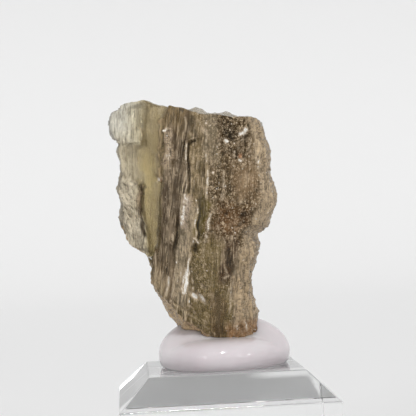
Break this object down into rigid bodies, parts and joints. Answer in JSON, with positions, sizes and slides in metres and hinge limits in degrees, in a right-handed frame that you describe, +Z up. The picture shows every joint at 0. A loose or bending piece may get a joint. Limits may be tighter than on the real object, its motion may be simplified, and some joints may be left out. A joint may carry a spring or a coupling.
{
  "type": "impact glass specimen on a display block",
  "caption": "Streaky olive-brown fragment of impact glass held upright in pale putty on a clear square block with a bevelled top.",
  "frame": {"origin": "centre of the clear block's underside, on the surface that it stands on", "axes": "+Z up, along the height of the specimen; +X to the viewer's right and +Y away from the viewer, along the block's sides, with the slab side of the glass facing -Y"},
  "size_m": [0.0254, 0.0254, 0.0454],
  "materials": {
    "streaky_glass": "olive-brown natural glass, cloudy, with pale and dark streaks, frosted where broken",
    "putty": "off-white putty, faintly lilac, slightly see-through, soft gloss",
    "clear_acrylic": "clear, polished"
  },
  "bodies": {
    "root": {"impact_glass": "streaky_glass", "mounting_putty": "putty", "acrylic_base": "clear_acrylic"}
  },
  "joints": []
}
